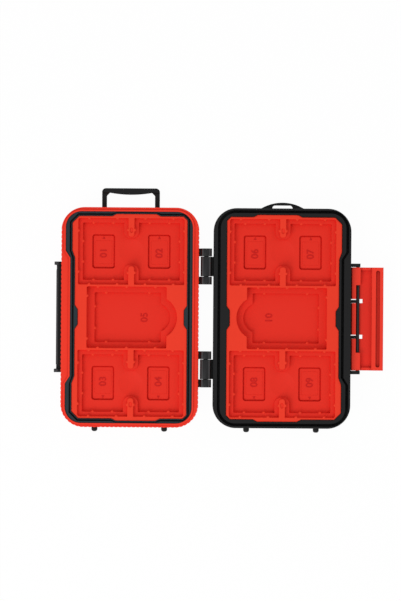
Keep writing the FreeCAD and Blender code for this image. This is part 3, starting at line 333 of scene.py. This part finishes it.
class Finish:
    """The nodes of one material or world."""

    def __init__(self, owner, output):
        owner.use_nodes = True
        self.owner = owner
        self.tree = owner.node_tree
        self.tree.nodes.clear()
        self.output = self.tree.nodes.new(output)

    def node(self, kind, options=None, values=None, output=0):
        """Add a node: its options first, then the values or links of its sockets."""
        made = self.tree.nodes.new(kind)
        for name, value in (options or {}).items():
            if name == "stops":
                self.set_stops(made.color_ramp, value)
            else:
                setattr(made, name, value)
        for key, value in (values or {}).items():
            if isinstance(value, Wire):
                self.tree.links.new(value.socket, made.inputs[key])
            else:
                made.inputs[key].default_value = value
        return Wire(self, made.outputs[output])

    def set_stops(self, ramp, stops):
        """Set a new ramp's own two stops, and add the others."""
        for index, (spot, level) in enumerate(stops):
            stop = ramp.elements[index] if index < 2 else ramp.elements.new(spot)
            stop.position = spot
            stop.color = (level, level, level, 1)

    def noise(self, size, detail=2.0, stretch=(1, 1, 1)):
        """Noise over the piece's own frame, with features about one size across."""
        where = self.node("ShaderNodeTexCoord", output="Object")
        spread = self.node("ShaderNodeMapping", {}, {"Vector": where, "Scale": stretch})
        return self.node(
            "ShaderNodeTexNoise", {}, {"Vector": spread, "Scale": 1 / size, "Detail": detail}, "Fac")

    def ramp(self, factor, stops):
        """A grey level between stops, each a place and a level."""
        return self.node("ShaderNodeValToRGB", {"stops": stops}, {"Fac": factor})

    def mix(self, factor, first, second):
        """Blend two colours, which are sockets 6 and 7 and output 2 of the node."""
        return self.node(
            "ShaderNodeMix", {"data_type": "RGBA"}, {0: factor, 6: first, 7: second}, output=2)

    def vary(self, factor, tone, shades):
        """One colour, blended from its darker shade to its lighter one."""
        dark, light = shades
        return self.mix(factor, shade(tone, dark), shade(tone, light))

    def soft_normal(self):
        """The surface's direction, rounded over sharp edges."""
        return self.node(
            "ShaderNodeBevel", {"samples": EDGE_SAMPLES}, {"Radius": settings().edge.shine})

    def edge(self):
        """Painted highlight mask: 1 on a sharp edge, 0 on flat ground."""
        flat = self.node("ShaderNodeNewGeometry", output="Normal")
        facing = self.node(
            "ShaderNodeVectorMath", {"operation": "DOT_PRODUCT"},
            {0: self.soft_normal(), 1: flat}, "Value")
        return self.ramp(1 - facing, EDGE_HIGHLIGHT_RAMP)

    def crevice(self, reach):
        """Painted shade mask: 1 deep in a groove, less at the foot of a wall, 0 on open ground."""
        seen = self.node(
            "ShaderNodeAmbientOcclusion", {"samples": CREVICE_SAMPLES, "only_local": True},
            {"Distance": reach}, "AO")
        return self.ramp(1 - seen, PAINTED_CREVICE_SHADE_RAMP)

    def between(self, axis, start, end):
        """0 at one place on an axis of the piece's own frame, 1 at another."""
        where = self.node("ShaderNodeTexCoord", output="Object")
        spot = self.node("ShaderNodeSeparateXYZ", {}, {"Vector": where}, axis)
        return self.node(
            "ShaderNodeMapRange", {}, {"Value": spot, "From Min": start, "From Max": end})

    def bump(self, height, distance):
        """A relief on the softened edges."""
        return self.node(
            "ShaderNodeBump", {},
            {"Height": height, "Distance": distance, "Normal": self.soft_normal()})

    def end(self, shader):
        """Lead a shader to the output and give the finished material or world."""
        self.tree.links.new(shader.socket, self.output.inputs["Surface"])
        return self.owner

    def surface(self, **sockets):
        """End the material in one Principled shader, its sockets named in lower case."""
        names = {key.replace("_", " ").title(): value for key, value in sockets.items()}
        if "Specular" in names:
            names["Specular IOR Level"] = names.pop("Specular")
        return self.end(self.node("ShaderNodeBsdfPrincipled", {}, names))


def new_finish(name):
    return Finish(bpy.data.materials.new(name), "ShaderNodeOutputMaterial")


def shade(tone, factor=1):
    """A colour times a factor, as the four numbers of a colour socket."""
    return (*[min(1.0, channel * factor) for channel in tone], 1.0)


# Finishes

# How much finer noise is along x, y and z: the lower the number, the longer the marks
FLOW_STRETCH = (1.0, 0.35, 1.0)
SCUFF_STRETCH = (0.25, 1.0, 1.0)
ROD_STRETCH = (1.0, 0.04, 1.0)
# Ramps, as pairs of a place from 0 to 1 and the level there
SCUFF_RAMP = ((0.56, 0), (0.75, 1))
# Painted highlight lines and painted shade down the hinge barrels
BARREL_HIGHLIGHT_RAMP = ((0.25, 0), (0.5, 1), (0.75, 1), (0.9, 0))
BARREL_PAINTED_SHADE_RAMP = ((0.82, 0), (0.95, 1))
# Painted shade on the keeper's inner half
KEEPER_PAINTED_SHADE_RAMP = ((0.41, 0), (0.45, 1))
# Factors on a colour; the edge factor lightens edges as a painted highlight with some wear, and the
# groove factor is painted shade
PLASTIC_SHADES = (0.93, 1.06)
EDGE_HIGHLIGHT_AND_WEAR = 1.35
RUBBER_SHADES = (0.85, 1.25)
GROOVE_PAINTED_SHADE = 0.05
ROD_SHADES = (0.85, 1.15)
# Share of the first of two noises that are added, the second being the mottling
FLOW_SHARE = 0.6
GRAIN_SHARE = 0.7
# What a full mark adds to the roughness, or takes from it, and the roughness deep in a crevice
FLOW_ROUGH = 0.06
GRAIN_ROUGH = 0.10
SCUFF_POLISH = 0.05
BLOOM_ROUGH = 0.12
ROD_LINE_ROUGH = 0.15
CREVICE_ROUGH = 0.9


class Sunk(NamedTuple):
    """A sunk floor painted darker, as painted shade: its top, its depth, its colour, and how far the
    painted crease shade is kept off it.
    """

    top: float
    deep: float
    tone: tuple
    clear: float = 0


def hinge_painted_light(finish, body):
    """Painted highlight: two light lines along the top of a hinge's barrel; painted shade: black
    beside and below them.
    """
    tone = settings().colours
    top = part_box("base_hinge_upper")[1].z
    depth = finish.between("Z", top, top - settings().edge.barrel_deep)
    lit = finish.mix(finish.ramp(depth, BARREL_HIGHLIGHT_RAMP), body, shade(tone.hinge_painted_highlight))
    return finish.mix(finish.ramp(depth, BARREL_PAINTED_SHADE_RAMP), lit, shade(tone.side_painted_shade))


def keeper_painted_shade(finish, body):
    """Painted shade: black along the keeper's inner half, from the foot of its rail to the lid's
    wall.
    """
    low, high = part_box("latch_keeper")
    inner = finish.ramp(finish.between("X", low.x, high.x), KEEPER_PAINTED_SHADE_RAMP)
    return finish.mix(inner, body, shade(settings().colours.side_painted_shade))


def moulded_plastic(
        name, tone, painted_shade_colour, *, grain, rough, edge_highlight_and_wear, specular, sunk=None, painted_light=None, reach=None):
    """Injection-moulded plastic: fine grain and faint flow marks, with a painted highlight and wear
    on the edges and painted shade in the creases.
    """
    look = settings().finish
    finish = new_finish(name)
    flow = finish.noise(look.flow, detail=3.0, stretch=FLOW_STRETCH)
    mottle = finish.noise(look.mottle)
    skin = finish.noise(grain)
    blotch = flow * FLOW_SHARE + mottle * (1 - FLOW_SHARE)
    body = finish.vary(blotch, tone, PLASTIC_SHADES)
    # Painted shade in the grooves and at the feet of the walls
    crevice = finish.crevice(reach or settings().edge.crevice)
    # Sunk floors are painted darker the deeper they lie: painted shade
    if sunk is not None:
        depth = finish.between("Z", sunk.top, sunk.top - sunk.deep)
        body = finish.mix(depth, body, shade(sunk.tone))
        # Less painted crease shade on the sunk floor, as far as asked
        if sunk.clear:
            crevice = crevice * (1 - depth * sunk.clear)
    # Painted highlights and painted shade in stripes, where given
    if painted_light is not None:
        body = painted_light(finish, body)
    # Painted highlight with some wear along sharp edges, kept out of the painted crease shade
    edge = finish.edge() * (1 - crevice)
    lit = finish.mix(edge * edge_highlight_and_wear, body, shade(tone, EDGE_HIGHLIGHT_AND_WEAR))
    base = finish.mix(crevice, lit, shade(painted_shade_colour))
    scuff = finish.ramp(finish.noise(look.scuff, detail=5.0, stretch=SCUFF_STRETCH), SCUFF_RAMP)
    dull = rough + flow * FLOW_ROUGH + skin * GRAIN_ROUGH - scuff * SCUFF_POLISH
    relief = skin * GRAIN_SHARE + mottle * (1 - GRAIN_SHARE)
    return finish.surface(
        base_color=base, roughness=dull + crevice * (CREVICE_ROUGH - rough), specular=specular,
        normal=finish.bump(relief, look.plastic_relief))


def rubber_skin(name, tone, rough):
    """Dark moulded rubber with a dull bloom, and painted shade that makes its grooves black."""
    look = settings().finish
    finish = new_finish(name)
    bloom = finish.noise(look.bloom, detail=4.0)
    face = finish.vary(bloom, tone, RUBBER_SHADES)
    # Painted shade in the rubber's grooves
    groove = finish.crevice(settings().edge.crevice)
    return finish.surface(
        base_color=finish.mix(groove, face, shade(tone, GROOVE_PAINTED_SHADE)),
        roughness=rough + bloom * BLOOM_ROUGH, specular=look.rubber_shine,
        normal=finish.bump(finish.noise(look.rubber_grain), look.rubber_relief))


def drawn_rod(name, tone, rough):
    """A blackened rod with fine drawing lines along it."""
    look = settings().finish
    finish = new_finish(name)
    lines = finish.noise(look.rod_line, detail=3.0, stretch=ROD_STRETCH)
    return finish.surface(
        base_color=finish.vary(lines, tone, ROD_SHADES), metallic=look.rod_metal,
        roughness=rough + lines * ROD_LINE_ROUGH,
        normal=finish.bump(lines, look.rod_relief))


def red_finishes(tone, look):
    """The red plastics of the trays, the lid and the latch."""
    edge = settings().edge
    # Pocket floors and the latch's plate painted darker with depth: painted shade
    tray_floor_painted_shade = Sunk(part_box("base_tray")[1].z, settings().tray.ledge_deep, tone.floor)
    latch_plate_painted_shade = Sunk(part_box("latch")[1].z, edge.latch_deep, tone.latch_floor_painted_shade, look.latch_painted_shade_clear)
    moulded_plastic(
        "tray_red", tone.tray, tone.tray_painted_shade, grain=look.tray_grain, rough=look.tray_rough,
        edge_highlight_and_wear=look.red_edge_highlight_and_wear, specular=look.tray_shine, sunk=tray_floor_painted_shade)
    moulded_plastic(
        "nub_red", tone.tray, tone.tray, grain=look.tray_grain, rough=look.nub_rough,
        edge_highlight_and_wear=look.mark_edge_highlight_and_wear, specular=look.tray_shine)
    moulded_plastic(
        "mark_red_painted_shade", tone.mark, tone.tray_painted_shade, grain=look.tray_grain, rough=look.tray_rough,
        edge_highlight_and_wear=look.mark_edge_highlight_and_wear, specular=look.tray_shine)
    moulded_plastic(
        "lid_red", tone.shell, tone.shell_painted_shade, grain=look.red_grain, rough=look.lid_rough,
        edge_highlight_and_wear=look.red_edge_highlight_and_wear, specular=look.red_shine)
    moulded_plastic(
        "latch_red", tone.latch, tone.latch_painted_shade, grain=look.red_grain, rough=look.latch_rough,
        edge_highlight_and_wear=look.red_edge_highlight_and_wear, specular=look.red_shine, sunk=latch_plate_painted_shade, reach=edge.latch_painted_shade_reach)


def black_finishes(tone, look):
    """The black plastics, the rubber and the rods."""
    moulded_plastic(
        "case_black", tone.black, tone.black_painted_shade, grain=look.black_grain, rough=look.black_rough,
        edge_highlight_and_wear=look.black_edge_highlight_and_wear, specular=look.black_shine)
    fittings = (("hinge_black", tone.hinge, hinge_painted_light), ("keeper_black", tone.keeper, keeper_painted_shade))
    for name, top, painted_light in fittings:
        moulded_plastic(
            name, top, tone.black_painted_shade, grain=look.black_grain, rough=look.fitting_rough,
            edge_highlight_and_wear=look.fitting_edge_highlight_and_wear, specular=look.fitting_shine, painted_light=painted_light)
    rubber_skin("seal_rubber", tone.seal, look.seal_rough)
    rubber_skin("foot_rubber", tone.rubber, look.foot_rough)
    drawn_rod("black_rod", tone.rod, look.rod_rough)


# Pieces

def wear(piece, name):
    """Give a piece one finish all over."""
    piece.data.materials.clear()
    piece.data.materials.append(bpy.data.materials[name])


def soften(piece, width):
    """Join the faces at their edges, merge flat triangles and round the edges that are left."""
    weld = piece.modifiers.new("joined_faces", "WELD")
    weld.merge_threshold = settings().edge.join
    merge = piece.modifiers.new("flat_faces", "DECIMATE")
    merge.decimate_type = "DISSOLVE"
    merge.angle_limit = settings().edge.flat
    rounding = piece.modifiers.new("soft_edges", "BEVEL")
    rounding.width = width
    rounding.segments = settings().edge.steps
    rounding.limit_method = "ANGLE"
    rounding.angle_limit = settings().edge.sharp
    rounding.harden_normals = True
    rounding.use_clamp_overlap = True


def dress(node, finish, width=None):
    """Finish a CAD node and, where a width is given, round its edges."""
    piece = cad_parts[node]
    wear(piece, finish)
    if width is not None:
        soften(piece, width)


def add_piece(name, data, body, finish):
    """Link a new piece, finish it and let it ride on its body."""
    piece = bpy.data.objects.new(name, data)
    bpy.context.scene.collection.objects.link(piece)
    wear(piece, finish)
    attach(piece, body)
    return piece


# Tray details

# Size of an arrow's top over its foot, and the bevel of a number over its height
ARROW_TAPER = 0.82
NUMBER_EDGE = 0.25


class TrayPlaces:
    """Places on a tray: w towards the latch, v along the tray, and deep below its top."""

    def __init__(self, half):
        low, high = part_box(f"{half}_tray")
        self.half = half
        self.turn = HALVES[half]
        self.middle = (low + high) / 2
        self.top = high.z

    def at(self, w, v, deep=0.0):
        """A place of the tray in the case's frame."""
        x = self.middle.x + w * self.turn
        y = self.middle.y + v * self.turn
        return Vector((x, y, self.top - deep))


def both(value):
    return (-value, value)


def bay_nubs(tray):
    """Places of the nubs round one bay, each with its depth."""
    pitch = (tray.card_wide + tray.divider) / 2
    half_wide = tray.card_wide + tray.divider / 2
    bay_end = tray.bay_start + tray.card_long
    bay_mid = tray.bay_start + tray.card_long / 2
    places = []
    for side in both(1):
        middle = pitch * side
        for step in both(tray.nub_spread):
            places += [(middle + step, tray.bay_start, 0), (middle + step, bay_end, 0)]
        for step in both(tray.ledge_nub_spread):
            places.append((middle + step, tray.bay_start + tray.ledge, tray.ledge_deep))
            places.append((middle + step, bay_end - tray.ledge, tray.ledge_deep))
        for step in both(tray.side_nub_spread):
            places.append((half_wide * side, bay_mid + step, 0))
            places.append(((half_wide - tray.ledge) * side, bay_mid + step / 2, tray.ledge_deep))
        for step in both(tray.tab_nub_spread):
            places.append((tray.divider / 2 * side, bay_mid + step, 0))
    return [(w - tray.bay_shift, v, deep) for w, v, deep in places]


def middle_nubs(tray):
    """Places of the nubs round the middle pocket, each with its depth."""
    places = []
    for v in both(tray.large_wide / 2):
        for step in (-tray.large_nub_spread, 0, tray.large_nub_spread):
            places.append((tray.large_shift + step, v, 0))
    for v in both(tray.inner_wide / 2):
        for step in both(tray.inner_nub_spread):
            places.append((tray.inner_shift + step, v, tray.large_deep))
    far = tray.large_shift + tray.large_long / 2
    places += [(far, step, 0) for step in both(tray.far_nub_spread)]
    inner_far = tray.inner_shift + tray.inner_long / 2
    places += [(inner_far, step, tray.large_deep) for step in both(tray.deep_nub_spread)]
    return places


def nub_mesh(name, centres, radius, tall):
    """One mesh of small flattened domes."""
    shape = bmesh.new()
    flat = Matrix.Diagonal((1, 1, tall / radius, 1))
    for centre in centres:
        bmesh.ops.create_icosphere(
            shape, subdivisions=2, radius=radius, matrix=Matrix.Translation(centre) @ flat)
    for face in shape.faces:
        face.smooth = True
    mesh = bpy.data.meshes.new(name)
    shape.to_mesh(mesh)
    shape.free()
    return mesh


def rounded_loop(low, high, radius, steps=5):
    """Points of a rectangle with rounded corners, from (w, v) to (w, v)."""
    left, right = low[0] + radius, high[0] - radius
    foot, head = low[1] + radius, high[1] - radius
    points = []
    for quarter, (w, v) in enumerate(((right, head), (left, head), (left, foot), (right, foot))):
        for step in range(steps + 1):
            turn = QUARTER_TURN * (quarter + step / steps)
            points.append((w + radius * math.cos(turn), v + radius * math.sin(turn)))
    return points


def bead_curve(name, loops, radius):
    """A curve of closed beads."""
    curve = bpy.data.curves.new(name, "CURVE")
    curve.dimensions = "3D"
    curve.bevel_depth = radius
    curve.bevel_resolution = 2
    for loop in loops:
        spline = curve.splines.new("POLY")
        spline.points.add(len(loop) - 1)
        for point, spot in zip(spline.points, loop):
            point.co = (*spot, 1)
        spline.use_cyclic_u = True
    return curve


def arrow_mesh(name, arrows, proud):
    """One mesh of small raised arrow heads, each given by its three corners."""
    shape = bmesh.new()
    up = Vector((0, 0, proud))
    for corners in arrows:
        foot = [shape.verts.new(corner) for corner in corners]
        middle = sum(corners, Vector()) / len(corners)
        tops = [middle + (corner - middle) * ARROW_TAPER + up for corner in corners]
        head = [shape.verts.new(top) for top in tops]
        shape.faces.new(head)
        for index in range(len(corners)):
            after = (index + 1) % len(corners)
            shape.faces.new((foot[index], foot[after], head[after], head[index]))
        shape.faces.new(foot[::-1])
    bmesh.ops.recalc_face_normals(shape, faces=shape.faces)
    mesh = bpy.data.meshes.new(name)
    shape.to_mesh(mesh)
    shape.free()
    return mesh


def number_curve(name, words, tall, proud):
    """A raised slot number."""
    text = bpy.data.curves.new(name, "FONT")
    text.body = words
    text.size = tall
    text.align_x = "CENTER"
    text.align_y = "CENTER"
    text.extrude = proud
    text.bevel_depth = proud * NUMBER_EDGE
    text.bevel_resolution = 1
    return text


class CASE_OT_trays(bpy.types.Operator):
    """Finish both card trays and add their nubs, recess beads, arrows and slot numbers"""

    bl_idname = "card_case.trays"
    bl_label = "Card trays"

    def execute(self, context):
        tray = settings().tray
        slot = 0
        for half in ("lid", "base"):
            dress(f"{half}_tray", "tray_red")
            places = TrayPlaces(half)
            self.add_nubs(places, tray)
            recesses = self.recesses(places, tray)
            self.add_beads(places, tray, recesses)
            self.add_arrows(places, tray, recesses)
            for w, v, out in recesses:
                slot += 1
                where = places.at(w, v - out * tray.number_shift, tray.small_deep)
                self.add_number(places, tray, slot, where)
            slot += 1
            where = places.at(tray.inner_shift - tray.inner_number_shift, 0, tray.inner_deep)
            self.add_number(places, tray, slot, where)
        return {"FINISHED"}

    def add_nubs(self, places, tray):
        found = [(w, v * end, deep) for w, v, deep in bay_nubs(tray) for end in both(1)]
        found += middle_nubs(tray)
        centres = [places.at(w, v, deep + tray.nub_sunk) for w, v, deep in found]
        mesh = nub_mesh(f"{places.half}_card_nubs", centres, tray.nub_radius, tray.nub_tall)
        add_piece(f"{places.half}_card_nubs", mesh, places.half, "nub_red")

    def recesses(self, places, tray):
        """Middle of each small recess and the way to its outer end, top row first."""
        middle = tray.bay_start + tray.card_long / 2
        found = []
        for row in (1, -1):
            for column in (-1, 1):
                w = column * places.turn * tray.small_apart / 2 - tray.bay_shift
                found.append((w, middle * row * places.turn, row * places.turn))
        return found

    def add_beads(self, places, tray, recesses):
        half_wide = tray.small_wide / 2 - tray.frame_inset
        half_long = tray.small_long / 2
        loops = []
        for w, v, out in recesses:
            outer = v + out * (half_long - tray.arrow_strip)
            inner = v - out * (half_long - tray.frame_foot)
            low = (w - half_wide, min(inner, outer))
            high = (w + half_wide, max(inner, outer))
            loop = rounded_loop(low, high, tray.frame_round)
            loops.append([places.at(a, b, tray.small_deep) for a, b in loop])
        curve = bead_curve(f"{places.half}_recess_beads", loops, tray.frame_bead)
        add_piece(f"{places.half}_recess_beads", curve, places.half, "tray_red")

    def add_arrows(self, places, tray, recesses):
        arrows = []
        half = tray.arrow_wide / 2
        for w, v, out in recesses:
            middle = v + out * (tray.small_long / 2 - tray.arrow_strip / 2)
            foot = middle - out * half
            corners = ((w - half, foot), (w + half, foot), (w, middle + out * half))
            arrows.append([places.at(a, b, tray.small_deep) for a, b in corners])
        mesh = arrow_mesh(f"{places.half}_card_arrows", arrows, tray.mark_proud)
        add_piece(f"{places.half}_card_arrows", mesh, places.half, "mark_red_painted_shade")

    def add_number(self, places, tray, slot, where):
        name = f"slot_number_{slot:02d}"
        text = number_curve(name, f"{slot:02d}", tray.number_tall, tray.mark_proud)
        piece = add_piece(name, text, places.half, "mark_red_painted_shade")
        piece.location = where
        piece.rotation_euler.z = QUARTER_TURN


class CASE_OT_shells(bpy.types.Operator):
    """Finish the fluted lid and the plain base"""

    bl_idname = "card_case.shells"
    bl_label = "Shells"

    def execute(self, context):
        dress("lid_shell", "lid_red")
        dress("base_shell", "case_black")
        return {"FINISHED"}


class CASE_OT_seal(bpy.types.Operator):
    """Finish the rubber seal in the lid"""

    bl_idname = "card_case.seal"
    bl_label = "Seal"

    def execute(self, context):
        dress("lid_seal", "seal_rubber")
        return {"FINISHED"}


class CASE_OT_hinges(bpy.types.Operator):
    """Finish the hinge leaves and their pins"""

    bl_idname = "card_case.hinges"
    bl_label = "Hinges"

    def execute(self, context):
        edge = settings().edge
        for end in ("upper", "lower"):
            for half in HALVES:
                dress(f"{half}_hinge_{end}", "hinge_black", edge.plastic)
            dress(f"hinge_pin_{end}", "black_rod", edge.steel)
        return {"FINISHED"}


class CASE_OT_latch(bpy.types.Operator):
    """Finish the latch, its rod and its keeper"""

    bl_idname = "card_case.latch"
    bl_label = "Latch"

    def execute(self, context):
        edge = settings().edge
        dress("latch", "latch_red")
        dress("latch_keeper", "keeper_black", edge.plastic)
        dress("latch_pin", "black_rod", edge.steel)
        return {"FINISHED"}


class CASE_OT_handle(bpy.types.Operator):
    """Finish the pull-out handle and its stop bar"""

    bl_idname = "card_case.handle"
    bl_label = "Pull-out handle"

    def execute(self, context):
        edge = settings().edge
        dress("pull_handle", "case_black", edge.plastic)
        dress("handle_stop_bar", "case_black", edge.plastic)
        return {"FINISHED"}


class CASE_OT_fittings(bpy.types.Operator):
    """Finish the lanyard loop and the feet"""

    bl_idname = "card_case.fittings"
    bl_label = "Loop and feet"

    def execute(self, context):
        dress("lanyard_loop", "case_black")
        for half in HALVES:
            for side in ("left", "right"):
                dress(f"{half}_foot_{side}", "foot_rubber")
        return {"FINISHED"}


# Stage

def seen_directly(finish):
    """1 for rays from the camera, a mirror or glass, 0 for rays that light the case."""
    rays = ("Is Camera Ray", "Is Glossy Ray", "Is Transmission Ray")
    camera, glossy, through = (finish.node("ShaderNodeLightPath", output=ray) for ray in rays)
    return camera | glossy | through


class CASE_OT_stage(bpy.types.Operator):
    """Set the white floor, the lamps and the camera"""

    bl_idname = "card_case.stage"
    bl_label = "Stage"

    def execute(self, context):
        stage = settings().stage
        self.add_floor(stage)
        self.light_world(stage)
        self.add_lamp("key_lamp", stage.key_at, stage.key_wide, stage.key)
        self.add_lamp("fill_lamp", stage.fill_at, stage.fill_wide, stage.fill)
        self.add_camera(stage)
        context.scene.view_settings.view_transform = "Standard"
        return {"FINISHED"}

    def add_floor(self, stage):
        mesh = bpy.data.meshes.new("floor")
        shape = bmesh.new()
        bmesh.ops.create_grid(shape, x_segments=1, y_segments=1, size=stage.floor_wide / 2)
        shape.to_mesh(mesh)
        shape.free()
        floor = bpy.data.objects.new("floor", mesh)
        floor.location.z = CAD_BOX[0].z - stage.floor_gap
        bpy.context.scene.collection.objects.link(floor)
        finish = new_finish("white_floor")
        tone = (stage.paper, stage.paper, stage.paper, 1)
        paper = finish.node("ShaderNodeBsdfDiffuse", {}, {"Color": tone})
        white = finish.node("ShaderNodeEmission", {}, {"Color": WHITE, "Strength": 1.0})
        glow = seen_directly(finish) * (1 - stage.shadow)
        mixed = finish.node("ShaderNodeMixShader", {}, {0: glow, 1: paper, 2: white})
        mesh.materials.append(finish.end(mixed))

    def light_world(self, stage):
        finish = Finish(bpy.data.worlds.new("studio"), "ShaderNodeOutputWorld")
        strength = seen_directly(finish) * (1 - stage.sky) + stage.sky
        sky = finish.node("ShaderNodeBackground", {}, {"Color": WHITE, "Strength": strength})
        bpy.context.scene.world = finish.end(sky)

    def add_lamp(self, name, offset, wide, power):
        lamp = bpy.data.lights.new(name, "AREA")
        lamp.size = wide
        lamp.energy = power
        piece = bpy.data.objects.new(name, lamp)
        piece.location = (CAD_BOX[0] + CAD_BOX[1]) / 2 + Vector(offset)
        piece.rotation_euler = (-Vector(offset)).to_track_quat("-Z", "Y").to_euler()
        bpy.context.scene.collection.objects.link(piece)

    def add_camera(self, stage):
        """Look straight down, with the base's middle on its own pixel."""
        data = bpy.data.cameras.new("camera")
        data.lens = stage.lens
        data.sensor_width = stage.sensor
        across = (stage.base_at_x - stage.picture_wide / 2) * stage.pixel
        up = (stage.picture_tall / 2 - stage.base_at_y) * stage.pixel
        distance = stage.picture_tall * stage.pixel * stage.lens / stage.sensor
        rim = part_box("base_shell")[1].z
        offset = Matrix.Rotation(stage.tilt, 3, "Z") @ Vector((across, up, 0))
        camera = bpy.data.objects.new("camera", data)
        camera.location = Vector((0, 0, rim + distance)) - offset
        camera.rotation_euler.z = stage.tilt
        bpy.context.scene.collection.objects.link(camera)
        bpy.context.scene.camera = camera


class CASE_PT_sidebar(bpy.types.Panel):
    """Lists the steps that dress the case"""

    bl_idname = "CASE_PT_sidebar"
    bl_label = "Card Case"
    bl_space_type = "VIEW_3D"
    bl_region_type = "UI"
    bl_category = "Card Case"

    def draw(self, context):
        for operator in OPERATORS:
            self.layout.operator(operator.bl_idname)
        for group in CaseSettings.__annotations__:
            values = getattr(context.scene.card_case, group)
            box = self.layout.box()
            for name in values.__annotations__:
                box.prop(values, name)


OPERATORS = (
    CASE_OT_trays,
    CASE_OT_shells,
    CASE_OT_seal,
    CASE_OT_hinges,
    CASE_OT_latch,
    CASE_OT_handle,
    CASE_OT_fittings,
    CASE_OT_stage,
)
GROUPS = (TraySizes, EdgeSizes, Colours, FinishSizes, StageSizes, CaseSettings)
CLASSES = (*GROUPS, *OPERATORS, CASE_PT_sidebar)


def register():
    for item in CLASSES:
        bpy.utils.register_class(item)
    bpy.types.Scene.card_case = PointerProperty(type=CaseSettings)


def unregister():
    del bpy.types.Scene.card_case
    for item in reversed(CLASSES):
        bpy.utils.unregister_class(item)


def main():
    register()
    red_finishes(settings().colours, settings().finish)
    black_finishes(settings().colours, settings().finish)
    bpy.ops.card_case.trays()
    bpy.ops.card_case.shells()
    bpy.ops.card_case.seal()
    bpy.ops.card_case.hinges()
    bpy.ops.card_case.latch()
    bpy.ops.card_case.handle()
    bpy.ops.card_case.fittings()
    bpy.ops.card_case.stage()


if __name__ == "__main__":
    main()
